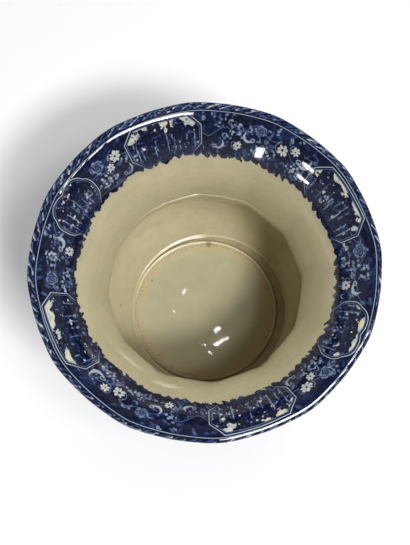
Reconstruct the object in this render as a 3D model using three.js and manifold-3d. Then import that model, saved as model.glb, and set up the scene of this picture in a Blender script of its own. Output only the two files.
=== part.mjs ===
// Two-handled vase in glazed printed earthenware: a twelve-panelled trumpet mouth on a squat belly,
// a flat inner floor, a turned foot ring and two loop handles with leaf terminals.
// Millimetres, +Z up, origin at the middle of the foot's resting face, handles on the X axis.
// Each clay member is a solid of its own, as it was before the vase was luted together and fired.
import * as THREE from "three";
import Module from "manifold-3d";
import { mergeVertices } from "three/addons/utils/BufferGeometryUtils.js";

// Driving dimensions
const RIM_RADIUS = 145;
const HEIGHT = 189;
const NECK_RADIUS = 87;
const NECK_HEIGHT = 111;
const BELLY_RADIUS = 105;
const BELLY_HEIGHT = 62;
const FLOOR_RADIUS = 73;
const FLOOR_THICKNESS = 7;
const LEDGE_WIDTH = 5.5;
const LEDGE_RISE = 1.6;
const WALL = 6;
const JOINT_GAP = 0.3;

// Rolled lip of the mouth
const LIP_DROP = 2.6;
const LIP_CREST_INSET = 6;
const LIP_RUN = 7.5;
const LIP_RISE = 8;
const FLARE_ANGLE = 47;

// Foot ring
const FOOT_HEIGHT = 12;
const FOOT_RADIUS = 92;
const FOOT_SEAT = 6;
const FOOT_SHOULDER = 3.5;
const FOOT_BEAD = 2.6;
const FOOT_REST = 6;

// Panels: how strongly the twelve flats show at each level, from 0 for round to 1 for a polygon
const PANELS = 12;
const PANEL_WAVES = 3;
const BELLY_FLATNESS = 0.75;
const NECK_FLATNESS = 0.85;
const RIM_FLATNESS = 0.22;
const STEPS_PER_PANEL = 6;

// Handles
const HANDLE_REACH = 137;
const HANDLE_TOP_ROOT = 122;
const HANDLE_LOW_ROOT = 70;
const HANDLE_CROWN = 9;
const HANDLE_WIDTH = 18;
const HANDLE_THICKNESS = 11;
const HANDLE_ROOT_SPREAD = 1.4;
const HANDLE_SIDES = 12;
const HANDLE_STEPS = 22;
const SPUR_LENGTH = 15;
const SPUR_WIDTH = 9;
const SPUR_STEPS = 5;

// Leaf terminals at the handle roots
const LEAF_WIDTH = 40;
const LEAF_LENGTH = 46;
const LEAF_THICKNESS = 3;
const LEAF_LOBES = 7;
const LEAF_NOTCH = 0.2;
const LEAF_TIP = 0.3;
const LEAF_POINTS = 56;
const LEAF_SHIFT = 6;

// Fineness of the turned profiles
const MOUTH_STEPS = 9;
const BELLY_STEPS = 7;
const LIP_STEPS = 4;

const SEGMENTS = PANELS * STEPS_PER_PANEL;
const LIP_EDGE_HEIGHT = HEIGHT - LIP_DROP;
const FLOOR_HEIGHT = FOOT_HEIGHT + FLOOR_THICKNESS;
const LEDGE_HEIGHT = FLOOR_HEIGHT + LEDGE_RISE;
const LEDGE_RADIUS = FLOOR_RADIUS + LEDGE_WIDTH;
const SEAM_RADIUS = LEDGE_RADIUS + WALL;

const wasm = await Module();
wasm.setup();

// Glazes
const printGlaze = (name) =>
  new THREE.MeshStandardMaterial({ name, color: 0x26305a, roughness: 0.16, metalness: 0 });
const creamGlaze = (name) =>
  new THREE.MeshStandardMaterial({ name, color: 0xc9bd98, roughness: 0.2, metalness: 0 });

function point(radius, height) {
  return new THREE.Vector2(radius, height);
}

function heading(degrees) {
  const angle = THREE.MathUtils.degToRad(degrees);
  return point(Math.cos(angle), Math.sin(angle));
}

// A smooth bend that leaves one point at one heading and arrives at another at a second heading.
// The pulls say how long each heading is held, as a share of the distance between the points.
function bend(start, leaving, end, arriving, steps, pulls = [0.4, 0.4]) {
  const span = start.distanceTo(end);
  const first = start.clone().addScaledVector(heading(leaving), span * pulls[0]);
  const second = end.clone().addScaledVector(heading(arriving), -span * pulls[1]);
  return new THREE.CubicBezierCurve(start, first, second, end).getPoints(steps);
}

// How strongly the panels show at a height: none at the floor, most at the neck, a trace at the rim
function flatness(height) {
  const { smoothstep } = THREE.MathUtils;
  const belly = BELLY_FLATNESS * smoothstep(height, LEDGE_HEIGHT, BELLY_HEIGHT);
  const neck = (NECK_FLATNESS - BELLY_FLATNESS) * smoothstep(height, BELLY_HEIGHT, NECK_HEIGHT);
  const rim = (RIM_FLATNESS - NECK_FLATNESS) * smoothstep(height, NECK_HEIGHT, LIP_EDGE_HEIGHT);
  return belly + neck + rim;
}

// Radius at an angle as a share of the mean radius: a polygon's first waves, so its corners are soft
function panelShare(angle, height) {
  const half = Math.PI / PANELS;
  let wave = 0;
  for (let k = 1; k <= PANEL_WAVES; k += 1) {
    wave += ((-1) ** k * Math.cos(k * PANELS * angle)) / k ** 2;
  }
  return 1 + flatness(height) * 2 * (half / Math.PI) ** 2 * wave;
}

// Turns a closed profile about +Z and presses the panels into it
function panelledTurning(profile) {
  const geometry = new THREE.LatheGeometry(profile, SEGMENTS).rotateX(Math.PI / 2);
  const position = geometry.getAttribute("position");
  for (let i = 0; i < position.count; i += 1) {
    const x = position.getX(i);
    const y = position.getY(i);
    const z = position.getZ(i);
    const share = panelShare(Math.atan2(y, x), z);
    position.setXYZ(i, x * share, y * share, z);
  }
  return geometry;
}

function solidOf(geometry) {
  const bare = geometry.clone();
  bare.deleteAttribute("normal");
  bare.deleteAttribute("uv");
  const merged = mergeVertices(bare, 1e-4);
  const mesh = new wasm.Mesh({
    numProp: 3,
    vertProperties: merged.getAttribute("position").array,
    triVerts: new Uint32Array(merged.index.array),
  });
  return new wasm.Manifold(mesh);
}

function geometryOf(solid) {
  const mesh = solid.getMesh();
  const geometry = new THREE.BufferGeometry();
  geometry.setAttribute("position", new THREE.BufferAttribute(mesh.vertProperties, mesh.numProp));
  geometry.setIndex(new THREE.BufferAttribute(mesh.triVerts, 1));
  const loose = geometry.toNonIndexed();
  loose.computeVertexNormals();
  return loose;
}

// A line of points moved sideways by a distance, to the right of its direction
function offsetLine(points, distance) {
  return points.map((here, i) => {
    const before = points[Math.max(i - 1, 0)];
    const after = points[Math.min(i + 1, points.length - 1)];
    const along = after.clone().sub(before).normalize();
    return point(here.x + along.y * distance, here.y - along.x * distance);
  });
}

// Inner wall of the mouth: upright at the neck seam, then flaring up to where the lip starts
function mouthLine() {
  const neck = point(NECK_RADIUS, NECK_HEIGHT);
  const lipStart = point(RIM_RADIUS - LIP_CREST_INSET - LIP_RUN, HEIGHT - LIP_RISE);
  return bend(neck, 90, lipStart, FLARE_ANGLE, MOUTH_STEPS, [0.24, 0.4]);
}

// Inner wall of the belly: round out of the ledge, over the widest level and in to the neck seam
function bellyLine() {
  const ledge = point(LEDGE_RADIUS, LEDGE_HEIGHT);
  const widest = point(BELLY_RADIUS, BELLY_HEIGHT);
  const neck = point(NECK_RADIUS, NECK_HEIGHT);
  const lower = bend(ledge, 22, widest, 90, BELLY_STEPS);
  const upper = bend(widest, 90, neck, 90, BELLY_STEPS, [0.46, 0.36]);
  return [...lower, ...upper.slice(1)];
}

// The lip rolls over its crest, round its edge and back under to the outside of the mouth
function lipLine(innerEnd, outerStart) {
  const crest = point(RIM_RADIUS - LIP_CREST_INSET, HEIGHT);
  const edge = point(RIM_RADIUS, LIP_EDGE_HEIGHT);
  const over = bend(innerEnd, FLARE_ANGLE, crest, 0, LIP_STEPS);
  const round = bend(crest, 0, edge, -90, LIP_STEPS, [0.55, 0.3]);
  const under = bend(edge, -90, outerStart, FLARE_ANGLE - 180, LIP_STEPS, [0.25, 0.2]);
  return [...over.slice(1), ...round.slice(1), ...under.slice(1, -1)];
}

// Outside of the mouth, from the neck seam up to where the lip comes back under
function mouthOutside(grown = 0) {
  const outside = offsetLine(mouthLine(), WALL + grown);
  outside[0] = point(NECK_RADIUS + WALL + grown, NECK_HEIGHT);
  return outside;
}

// Outside of the belly, from the foot seam up to the neck seam
function bellyOutside(grown = 0) {
  const outside = offsetLine(bellyLine(), WALL + grown).slice(1, -1);
  const seam = point(SEAM_RADIUS + grown, FOOT_HEIGHT);
  return [seam, ...outside, point(NECK_RADIUS + WALL + grown, NECK_HEIGHT)];
}

function mouthProfile() {
  const inside = mouthLine();
  const outside = mouthOutside();
  const lip = lipLine(inside[inside.length - 1], outside[outside.length - 1]);
  return [...outside, ...lip.reverse(), ...inside.reverse(), outside[0].clone()];
}

function bellyProfile() {
  const bore = FLOOR_RADIUS + JOINT_GAP;
  const outside = bellyOutside();
  return [
    ...outside,
    ...bellyLine().reverse(),
    point(bore, LEDGE_HEIGHT),
    point(bore, FOOT_HEIGHT),
    outside[0].clone(),
  ];
}

// The foot spreads from the belly's seam in a cove and stands on a rounded bead
function footProfile() {
  const seatInner = FLOOR_RADIUS - FOOT_SEAT;
  const restOuter = FOOT_RADIUS - FOOT_BEAD;
  const seat = point(SEAM_RADIUS, FOOT_HEIGHT);
  const shoulder = point(FOOT_RADIUS - FOOT_BEAD / 3, FOOT_SHOULDER + FOOT_BEAD);
  const belt = point(FOOT_RADIUS, FOOT_SHOULDER);
  const cove = bend(seat, -80, shoulder, -15, LIP_STEPS);
  const bead = bend(belt, -90, point(restOuter, 0), 180, LIP_STEPS);
  const rest = point(restOuter - FOOT_REST, 0);
  const recess = bend(rest, 90, point(seatInner, FOOT_HEIGHT - FOOT_BEAD), 180, LIP_STEPS);
  const start = point(seatInner, FOOT_HEIGHT);
  return [start, ...cove, ...bead, ...recess, start.clone()].reverse();
}

function floorProfile() {
  return [
    point(0, FOOT_HEIGHT),
    point(FLOOR_RADIUS, FOOT_HEIGHT),
    point(FLOOR_RADIUS, FLOOR_HEIGHT),
    point(0, FLOOR_HEIGHT),
  ];
}

// The vase's outer form as one filled solid, grown outwards, to trim what is luted onto it
function outerForm(grown) {
  const mouth = mouthOutside(grown);
  const top = mouth[mouth.length - 1].y;
  const outline = [point(0, FOOT_HEIGHT), ...bellyOutside(grown), ...mouth.slice(1), point(0, top)];
  return solidOf(panelledTurning(outline));
}

// Outer radius over a flat panel's middle at a height
function outerRadius(height) {
  const line = [...bellyOutside(), ...mouthOutside().slice(1)];
  const above = line.findIndex((p) => p.y >= height);
  const low = line[above - 1];
  const high = line[above];
  const share = (height - low.y) / (high.y - low.y);
  return THREE.MathUtils.lerp(low.x, high.x, share) * panelShare(0, height);
}

// Joins rings of points into one closed skin with flat ends
function loft(rings) {
  const sides = rings[0].length;
  const vertices = rings.flat().flatMap((p) => [p.x, p.y, p.z]);
  const faces = [];
  for (let ring = 0; ring < rings.length - 1; ring += 1) {
    for (let side = 0; side < sides; side += 1) {
      const a = ring * sides + side;
      const b = ring * sides + ((side + 1) % sides);
      faces.push(a, b, a + sides, b, b + sides, a + sides);
    }
  }
  const top = (rings.length - 1) * sides;
  for (let side = 1; side < sides - 1; side += 1) {
    faces.push(0, side + 1, side);
    faces.push(top, top + side, top + side + 1);
  }
  const geometry = new THREE.BufferGeometry();
  geometry.setAttribute("position", new THREE.Float32BufferAttribute(vertices, 3));
  geometry.setIndex(faces);
  return geometry;
}

// A clay strap of rounded section along a line in the XZ plane. size gives its half width and half
// thickness at each share of the line's length
function strap(line, steps, size) {
  const across = new THREE.Vector3(0, 1, 0);
  const rings = [];
  for (let step = 0; step <= steps; step += 1) {
    const along = step / steps;
    const centre = line.getPointAt(along);
    const out = line.getTangentAt(along).cross(across).normalize();
    const [halfWidth, halfThickness] = size(along);
    const ring = [];
    for (let side = 0; side < HANDLE_SIDES; side += 1) {
      const turn = (2 * Math.PI * side) / HANDLE_SIDES;
      const place = centre.clone().addScaledVector(across, halfWidth * Math.cos(turn));
      ring.push(place.addScaledVector(out, halfThickness * Math.sin(turn)));
    }
    rings.push(ring);
  }
  return solidOf(loft(rings));
}

// The loop of the +X handle: up and out from under the mouth, round its reach and in to the belly
function handleLoop() {
  const at = (x, z) => new THREE.Vector3(x, 0, z);
  const top = outerRadius(HANDLE_TOP_ROOT);
  const low = outerRadius(HANDLE_LOW_ROOT);
  const reach = HANDLE_REACH - HANDLE_THICKNESS / 2;
  const half = (HANDLE_TOP_ROOT - HANDLE_LOW_ROOT) / 2;
  const line = new THREE.CatmullRomCurve3(
    [
      at(top - WALL, HANDLE_TOP_ROOT - HANDLE_CROWN / 2),
      at(top + (reach - top) * 0.33, HANDLE_TOP_ROOT + HANDLE_CROWN * 0.6),
      at(top + (reach - top) * 0.72, HANDLE_TOP_ROOT + HANDLE_CROWN * 0.7),
      at(reach - HANDLE_THICKNESS * 0.12, HANDLE_TOP_ROOT - half * 0.2),
      at(reach, HANDLE_LOW_ROOT + half),
      at(reach - HANDLE_THICKNESS * 0.5, HANDLE_LOW_ROOT + half * 0.4),
      at(low + (reach - low) * 0.35, HANDLE_LOW_ROOT),
      at(low - WALL, HANDLE_LOW_ROOT - half * 0.12),
    ],
    false,
    "centripetal",
  );
  return strap(line, HANDLE_STEPS, (along) => {
    const spread = 1 + (HANDLE_ROOT_SPREAD - 1) * Math.abs(2 * along - 1) ** 4;
    return [(HANDLE_WIDTH / 2) * spread, (HANDLE_THICKNESS / 2) * spread];
  });
}

// A thumb spur that curls up off the crown of the handle
function thumbSpur() {
  const at = (x, z) => new THREE.Vector3(x, 0, z);
  const top = outerRadius(HANDLE_TOP_ROOT);
  const foot = top + (HANDLE_REACH - top) * 0.45;
  const crown = HANDLE_TOP_ROOT + HANDLE_CROWN;
  const line = new THREE.QuadraticBezierCurve3(
    at(foot, crown - HANDLE_THICKNESS / 2),
    at(foot + SPUR_LENGTH * 0.35, crown + SPUR_LENGTH * 0.35),
    at(foot + SPUR_LENGTH * 0.9, crown + SPUR_LENGTH * 0.55),
  );
  return strap(line, SPUR_STEPS, (along) => {
    const taper = 1 - 0.6 * along;
    return [(SPUR_WIDTH / 2) * taper, (HANDLE_THICKNESS / 3) * taper];
  });
}

// Outline of a lobed leaf, its point at +Y
function leafOutline() {
  const outline = new THREE.Shape();
  for (let i = 0; i < LEAF_POINTS; i += 1) {
    const turn = (2 * Math.PI * i) / LEAF_POINTS;
    const lobe = 1 - LEAF_NOTCH * (1 - Math.abs(Math.cos((LEAF_LOBES * turn) / 2)));
    const x = (LEAF_WIDTH / 2) * lobe * Math.sin(turn) * (1 - 0.25 * Math.cos(turn));
    const tip = 1 + LEAF_TIP * Math.max(Math.cos(turn), 0) ** 6;
    const y = (LEAF_LENGTH / 2) * lobe * tip * Math.cos(turn);
    if (i === 0) outline.moveTo(x, y);
    else outline.lineTo(x, y);
  }
  outline.closePath();
  return outline;
}

// A leaf that hugs the wall round one root of the +X handle and points up or down
function leafTerminal(height, points) {
  const start = outerRadius(height) - WALL;
  const blank = new THREE.ExtrudeGeometry(leafOutline(), {
    depth: HANDLE_REACH - start,
    bevelEnabled: false,
    steps: 1,
  });
  if (points === "down") blank.rotateZ(Math.PI);
  blank.rotateX(Math.PI / 2).rotateZ(Math.PI / 2);
  blank.translate(start, 0, height + (points === "down" ? -LEAF_SHIFT : LEAF_SHIFT));
  return solidOf(blank).intersect(outerForm(JOINT_GAP + LEAF_THICKNESS));
}

// The whole +X handle, trimmed to lie on the wall of the vase
function handle() {
  return handleLoop()
    .add(thumbSpur())
    .add(leafTerminal(HANDLE_TOP_ROOT, "up"))
    .add(leafTerminal(HANDLE_LOW_ROOT, "down"))
    .subtract(outerForm(JOINT_GAP));
}

const group = new THREE.Group();

function add(name, geometry, material) {
  const mesh = new THREE.Mesh(geometry, material(name));
  mesh.name = name;
  group.add(mesh);
  return mesh;
}

add("flared_mouth", panelledTurning(mouthProfile()), printGlaze);
add("belly_wall", panelledTurning(bellyProfile()), printGlaze);
add("floor_disc", panelledTurning(floorProfile()), creamGlaze);
add("foot_ring", panelledTurning(footProfile()), printGlaze);
const handleShape = geometryOf(handle());
add("right_handle", handleShape, printGlaze);
add("left_handle", handleShape.clone(), printGlaze).rotation.z = Math.PI;

export default group;
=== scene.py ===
"""Looks of a two-handled earthenware vase printed in cobalt blue, built round its clay members.

Metres, +Z up, the foot on Z = 0 and the handles on the X axis. Printed patterns are laid out in
millimetres: U runs round the vase and V runs down the inner wall from the crest of the lip, and
backwards, with negative values, over the lip and down the outside.
"""
import math

import bmesh
import bpy
from mathutils import Matrix, Vector
from mathutils import noise as clay
from mathutils.geometry import interpolate_bezier


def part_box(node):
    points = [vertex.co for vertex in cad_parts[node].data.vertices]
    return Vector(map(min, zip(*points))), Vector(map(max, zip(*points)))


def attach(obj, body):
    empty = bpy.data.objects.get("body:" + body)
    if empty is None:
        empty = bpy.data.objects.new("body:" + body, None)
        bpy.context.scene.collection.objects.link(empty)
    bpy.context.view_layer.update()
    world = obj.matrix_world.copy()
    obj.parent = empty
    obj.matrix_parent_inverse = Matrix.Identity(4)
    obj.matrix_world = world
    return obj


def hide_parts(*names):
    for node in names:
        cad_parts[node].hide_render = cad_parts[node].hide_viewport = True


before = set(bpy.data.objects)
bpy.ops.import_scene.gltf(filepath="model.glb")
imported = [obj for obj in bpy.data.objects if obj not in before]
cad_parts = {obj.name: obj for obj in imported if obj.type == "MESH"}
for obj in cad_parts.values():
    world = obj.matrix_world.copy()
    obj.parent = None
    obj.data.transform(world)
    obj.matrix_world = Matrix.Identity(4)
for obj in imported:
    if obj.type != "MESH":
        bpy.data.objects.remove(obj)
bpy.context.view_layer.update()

MM = 0.001

# The vase's driving sizes, as the clay members have them
RIM_RADIUS = 145 * MM
NECK_RADIUS = 87 * MM
BELLY_RADIUS = 105 * MM
BELLY_HEIGHT = 62 * MM
LEDGE_WIDTH = 5.5 * MM
LEDGE_RISE = 1.6 * MM
WALL = 6 * MM
LIP_DROP = 2.6 * MM
LIP_CREST_INSET = 6 * MM
LIP_RUN = 7.5 * MM
LIP_RISE = 8 * MM
FLARE_ANGLE = 47
INNER_LIP_RUN = 8.5 * MM
INNER_LIP_RISE = 5.6 * MM
INNER_LIP_ANGLE = 43
INNER_FOOT_ANGLE = 44
OUTER_FOOT_ANGLE = 22
FOOT_SEAT = 6 * MM
FOOT_SHOULDER = 3.5 * MM
FOOT_BEAD = 2.6 * MM
FOOT_REST = 6 * MM

# Levels and radii that the clay members give
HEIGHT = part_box("flared_mouth")[1].z
NECK_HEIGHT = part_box("flared_mouth")[0].z
FOOT_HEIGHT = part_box("foot_ring")[1].z
FOOT_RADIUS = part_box("foot_ring")[1].x
FLOOR_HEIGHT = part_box("floor_disc")[1].z
FLOOR_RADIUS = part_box("floor_disc")[1].x
HANDLE_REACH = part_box("right_handle")[1].x
LEDGE_HEIGHT = FLOOR_HEIGHT + LEDGE_RISE
LEDGE_RADIUS = FLOOR_RADIUS + LEDGE_WIDTH
SEAM_RADIUS = LEDGE_RADIUS + WALL
LIP_EDGE_HEIGHT = HEIGHT - LIP_DROP

# The ledge's edge, in millimetres outward and up from its corner, the groove inside it, outward from
# the bore and up from the ledge, and the gaps that the bore and the floor's edge leave
LEDGE_EDGE = ((-0.9, 0.1), (-1.3, -0.5))
LEDGE_GROOVE = ((2.4, -0.9), (1.5, -0.7), (0.8, -1.3))
BORE_GAP = 0.25 * MM
FLOOR_GAP = 0.2 * MM

# The bead along the floor's edge: its foot and crest, inward from the edge, its rise, and how far
# its outer side rounds down
BEAD_FOOT = 3.4 * MM
BEAD_CREST = 1.3 * MM
BEAD_RISE = 0.9 * MM
BEAD_FALL = 1.6 * MM

# Panels, as shares of a true polygon's flatness at each level
PANELS = 12
PANEL_WAVES = 2
BELLY_FLATNESS = 0.7
NECK_FLATNESS = 0.6
RIM_FLATNESS = 0.2526

# The panels are crisper on the side that was pressed harder
PRESS_UNEVENNESS = 0.4
PRESS_DIRECTION = -45

# Fineness of the turned pieces
TURNING_STEPS = PANELS * 26
WALL_STEPS = 44
LIP_STEPS = 12
FLOOR_STEPS = 70

# How far hand potting leaves a wall from true, the length of its waves, and over what height or
# width they fade towards what is held true
POTTING_DEPTH = 0.3 * MM
POTTING_LENGTH = 34 * MM
POTTING_FADE = 6 * MM
FLOOR_DEPTH = 0.03 * MM
FLOOR_LENGTH = 28 * MM

# A low ridge left by throwing, just above the neck on one side: its height above the neck, half
# width, depth, and the cosine of half the arc that it runs along
RIDGE_RISE = 4.2 * MM
RIDGE_HALF_WIDTH = 0.9 * MM
RIDGE_DEPTH = 1.0 * MM
RIDGE_DIRECTION = 104
RIDGE_ARC = math.cos(math.radians(62))

# The ledge round the floor was pressed a little to one side: how far, which way, and the height
# over which this fades out
LEDGE_SLIP = 4.7 * MM
LEDGE_SLIP_DIRECTION = 10
LEDGE_SLIP_FADE = 20 * MM

# Handles, as the clay members have them
HANDLE_TOP_ROOT = 122 * MM
HANDLE_LOW_ROOT = 70 * MM
HANDLE_CROWN = 9 * MM
HANDLE_WIDTH = 18 * MM
HANDLE_THICKNESS = 11 * MM
HANDLE_ROOT_SPREAD = 1.4
SPUR_LENGTH = 15 * MM
SPUR_WIDTH = 9 * MM
LEAF_WIDTH = 40 * MM
LEAF_LENGTH = 46 * MM
LEAF_THICKNESS = 3 * MM
LEAF_LOBES = 7
LEAF_SHIFT = 6 * MM
LEAF_SINK = 2.2 * MM
LEAF_RINGS = 16
LEAF_SPOKES = 112

# Size of the cells in which a handle's parts are melted together, and how often it is smoothed
HANDLE_GRAIN = 0.75 * MM
HANDLE_SMOOTHING = 3

# Pattern layout in millimetres
PATTERN_RADIUS = 128
AROUND = 2 * math.pi * PATTERN_RADIUS
SHEETS = 2
SHEET = AROUND / SHEETS
BORDER_DEPTH = 43.5
BORDER_MIDDLE = 21.5

# The print round the mouth was laid a little to one side: how far, and from where it fades out
PRINT_SLIP = 2.9
PRINT_SLIP_DIRECTION = 130
PRINT_SLIP_FADE = (-32, -14)

# The lip's print ends under the lip, where the outside's begins
LIP_PRINT_END = -9.5


def point(radius, height):
    return Vector((radius, height))


def heading(degrees):
    angle = math.radians(degrees)
    return Vector((math.cos(angle), math.sin(angle)))


def radius_of(place):
    return math.hypot(place.x, place.y)


def turn_of(place):
    """The angle round the vase's axis at which a place lies."""
    return math.atan2(place.y, place.x)


def outward(place):
    return Vector((place.x, place.y, 0)).normalized()


def smoothstep(value, low, high):
    share = min(max((value - low) / (high - low), 0), 1)
    return share * share * (3 - 2 * share)


def bend(start, leaving, end, arriving, steps, pulls=(0.4, 0.4)):
    """A smooth bend that leaves start at one heading and arrives at end at another."""
    span = (end - start).length
    first = start + heading(leaving) * span * pulls[0]
    second = end - heading(arriving) * span * pulls[1]
    line = interpolate_bezier(start.to_3d(), first.to_3d(), second.to_3d(), end.to_3d(), steps + 1)
    return [p.to_2d() for p in line]


def moved_right(line, distance):
    """A line of points moved sideways, to the right of its direction."""
    moved = []
    for i, here in enumerate(line):
        along = (line[min(i + 1, len(line) - 1)] - line[max(i - 1, 0)]).normalized()
        moved.append(here + Vector((along.y, -along.x)) * distance)
    return moved


def flatness(height):
    belly = BELLY_FLATNESS * smoothstep(height, LEDGE_HEIGHT, BELLY_HEIGHT)
    neck = (NECK_FLATNESS - BELLY_FLATNESS) * smoothstep(height, BELLY_HEIGHT, NECK_HEIGHT)
    rim = (RIM_FLATNESS - NECK_FLATNESS) * smoothstep(height, NECK_HEIGHT, LIP_EDGE_HEIGHT)
    return belly + neck + rim


def panel_share(angle, height):
    """Radius at an angle as a share of the mean radius, for soft-cornered panels."""
    wave = sum((-1) ** k * math.cos(k * PANELS * angle) / k**2 for k in range(1, PANEL_WAVES + 1))
    inner = 1 - smoothstep(height, NECK_HEIGHT, LIP_EDGE_HEIGHT)
    press = 1 + PRESS_UNEVENNESS * inner * math.cos(angle - math.radians(PRESS_DIRECTION))
    return 1 + flatness(height) * press * 2 / PANELS**2 * wave


def flare(run, rise, angle):
    """The flare from the neck to where the lip starts to roll, inside and below its crest."""
    neck = point(NECK_RADIUS, NECK_HEIGHT)
    lip_start = point(RIM_RADIUS - LIP_CREST_INSET - run, HEIGHT - rise)
    return bend(neck, 90, lip_start, angle, WALL_STEPS, (0.24, 0.4))


def mouth_outside():
    outside = moved_right(flare(LIP_RUN, LIP_RISE, FLARE_ANGLE), WALL)
    outside[0] = point(NECK_RADIUS + WALL, NECK_HEIGHT)
    return outside


def belly_inside(foot_angle=INNER_FOOT_ANGLE):
    ledge = point(LEDGE_RADIUS, LEDGE_HEIGHT)
    widest = point(BELLY_RADIUS, BELLY_HEIGHT)
    neck = point(NECK_RADIUS, NECK_HEIGHT)
    lower = bend(ledge, foot_angle, widest, 90, WALL_STEPS // 2)
    return lower + bend(widest, 90, neck, 90, WALL_STEPS // 2, (0.46, 0.36))[1:]


def belly_outside():
    seam = point(SEAM_RADIUS, FOOT_HEIGHT)
    skin = moved_right(belly_inside(OUTER_FOOT_ANGLE), WALL)
    return [seam] + skin[2:-1] + [point(NECK_RADIUS + WALL, NECK_HEIGHT)]


def lengths(line):
    """How far along the line each of its points lies, in millimetres."""
    run = [0.0]
    for here, there in zip(line, line[1:]):
        run.append(run[-1] + (there - here).length / MM)
    return run


def outer_radius(height):
    """Outer radius over a flat panel's middle at a height."""
    line = belly_outside() + mouth_outside()[1:]
    above = next(i for i, p in enumerate(line) if p.y >= height)
    low, high = line[above - 1], line[above]
    return low.lerp(high, (height - low.y) / (high.y - low.y)).x * panel_share(0, height)


def wall_radius(turn, height):
    """Outer radius at an angle round the vase and a height."""
    return outer_radius(height) * panel_share(turn, height) / panel_share(0, height)


def spin_round(bm, line, steps, closed=False):
    """Joins the vertices in a line and spins it all the way round +Z."""
    edges = [bm.edges.new(pair) for pair in zip(line, line[1:])]
    if closed:
        edges.append(bm.edges.new((line[-1], line[0])))
    bmesh.ops.spin(
        bm, geom=line + edges, cent=(0, 0, 0), axis=(0, 0, 1), dvec=(0, 0, 0),
        angle=2 * math.pi, steps=steps, use_merge=True,
    )


def turned(line, run, closed, corners=()):
    """Spins a profile round +Z. run gives each point's V, and corners the points left sharp."""
    bm = bmesh.new()
    place = bm.verts.layers.float.new("place")
    corner = bm.verts.layers.float.new("corner")
    ring = []
    for i, (p, v) in enumerate(zip(line, run)):
        vertex = bm.verts.new((p.x, 0, p.y))
        vertex[place] = v
        vertex[corner] = i + 1 if i in corners else 0
        ring.append(vertex)
    spin_round(bm, ring, TURNING_STEPS, closed)
    bmesh.ops.remove_doubles(bm, verts=bm.verts, dist=0.001 * MM)
    bmesh.ops.recalc_face_normals(bm, faces=bm.faces)
    for edge in bm.edges:
        first, second = edge.verts
        edge.smooth = not (first[corner] and first[corner] == second[corner])
    return bm


def press_panels(bm):
    for vertex in bm.verts:
        share = panel_share(turn_of(vertex.co), vertex.co.z)
        vertex.co.x *= share
        vertex.co.y *= share


def unevenness(place, length):
    return clay.noise(place / length) + 0.5 * clay.noise(place / length * 2.1)


def press_by_hand(bm, held_low, held_high):
    """Moves the walls in and out a little, as potting by hand does, except near the held levels
    and the rim's edge."""
    for vertex in bm.verts:
        free = smoothstep(vertex.co.z, held_low, held_low + POTTING_FADE)
        free *= 1 - smoothstep(vertex.co.z, held_high - POTTING_FADE, held_high)
        rim = radius_of(vertex.co)
        free *= 1 - smoothstep(rim, RIM_RADIUS - POTTING_FADE, RIM_RADIUS - POTTING_FADE / 3)
        depth = POTTING_DEPTH * free * unevenness(vertex.co, POTTING_LENGTH)
        vertex.co += outward(vertex.co) * depth


def finer(line, low, high, step):
    """The line with more points where its height lies between the two levels."""
    more = [line[0]]
    for here, there in zip(line, line[1:]):
        if low < here.y < high or low < there.y < high:
            count = max(1, round((there - here).length / step))
            more += [here.lerp(there, k / count) for k in range(1, count)]
        more.append(there)
    return more


def raise_ridge(bm):
    """Pushes out a low ridge inside, just above the neck, along part of the way round."""
    place = bm.verts.layers.float["place"]
    for vertex in bm.verts:
        across = abs(vertex.co.z - NECK_HEIGHT - RIDGE_RISE) / RIDGE_HALF_WIDTH
        turn = turn_of(vertex.co) - math.radians(RIDGE_DIRECTION)
        if vertex[place] < 0 or across > 1:
            continue
        share = smoothstep(math.cos(turn), RIDGE_ARC, 1) * (1 - across**2) ** 2
        vertex.co -= outward(vertex.co) * RIDGE_DEPTH * share


def lay_print(bm):
    """Gives every face its place in the pattern as a UV map in millimetres. Round the mouth the
    pattern lies a little to one side."""
    place = bm.verts.layers.float["place"]
    uv = bm.loops.layers.uv.new("print")
    full = 2 * math.pi
    for face in bm.faces:
        centre = turn_of(face.calc_center_median()) % full
        for loop in face.loops:
            angle = turn_of(loop.vert.co) % full
            turns = round((centre - angle) / full)
            slip = PRINT_SLIP * math.cos(angle - math.radians(PRINT_SLIP_DIRECTION))
            v = loop.vert[place] - slip * smoothstep(loop.vert[place], *PRINT_SLIP_FADE)
            loop[uv].uv = ((angle + turns * full) * PATTERN_RADIUS, v)


def in_scene(name, data):
    """A new object of the scene that shows the data."""
    thing = bpy.data.objects.new(name, data)
    bpy.context.scene.collection.objects.link(thing)
    return thing


def meshed(name, bm):
    """A new object of the scene with the mesh."""
    mesh = bpy.data.meshes.new(name)
    bm.to_mesh(mesh)
    bm.free()
    return in_scene(name, mesh)


def finish_piece(name, bm, node, slot, *materials):
    """Makes the mesh a piece that stands for its clay member."""
    for face in bm.faces:
        face.smooth = True
    piece = meshed(name, bm)
    for material in materials:
        piece.data.materials.append(material)
    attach(piece, "root")
    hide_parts(node)


def split_skins(bm, v_low, v_high):
    """Faces whose V lies between the two values keep the first glaze, the others get the second."""
    place = bm.verts.layers.float["place"]
    for face in bm.faces:
        middle = sum(vertex[place] for vertex in face.verts) / len(face.verts)
        face.material_index = 0 if v_low < middle < v_high else 1


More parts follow.
